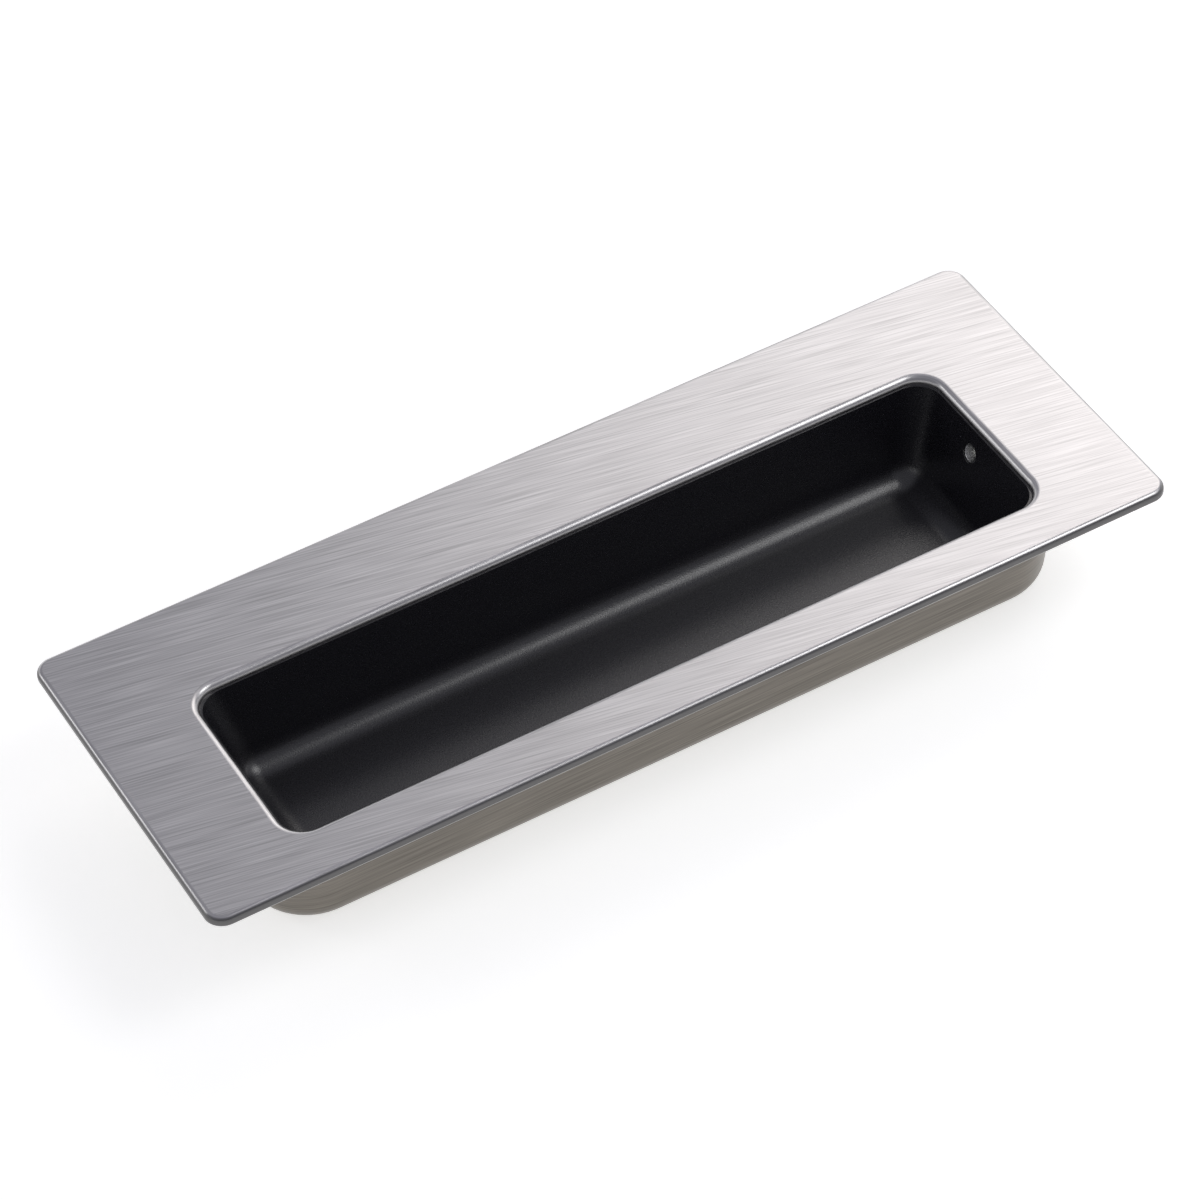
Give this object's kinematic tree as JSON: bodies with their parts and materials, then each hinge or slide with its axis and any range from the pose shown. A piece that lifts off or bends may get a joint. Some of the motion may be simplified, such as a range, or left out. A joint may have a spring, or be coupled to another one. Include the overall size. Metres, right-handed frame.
{
  "type": "recessed pull handle",
  "caption": "Flush recessed pull: flat brushed plate with an off-centre rectangular opening, a black sloping-ended finger cup and a drawn steel tray behind it.",
  "frame": {"origin": "middle of the bounding box at the bottom of the tray", "axes": "+X along the plate's length, +Y towards the wide margin of the plate, +Z out of the door"},
  "size_m": [0.16, 0.06, 0.0201],
  "materials": {
    "plate_steel": "fine brushed along the length",
    "cup_black": "black, finely grained",
    "tray_steel": "brushed along the length",
    "sleeve_steel": "plain turned steel"
  },
  "bodies": {
    "root": {"face_plate": "plate_steel", "inner_cup": "cup_black", "outer_tray": "tray_steel", "right_screw_sleeve": "sleeve_steel", "left_screw_sleeve": "sleeve_steel"}
  },
  "joints": []
}
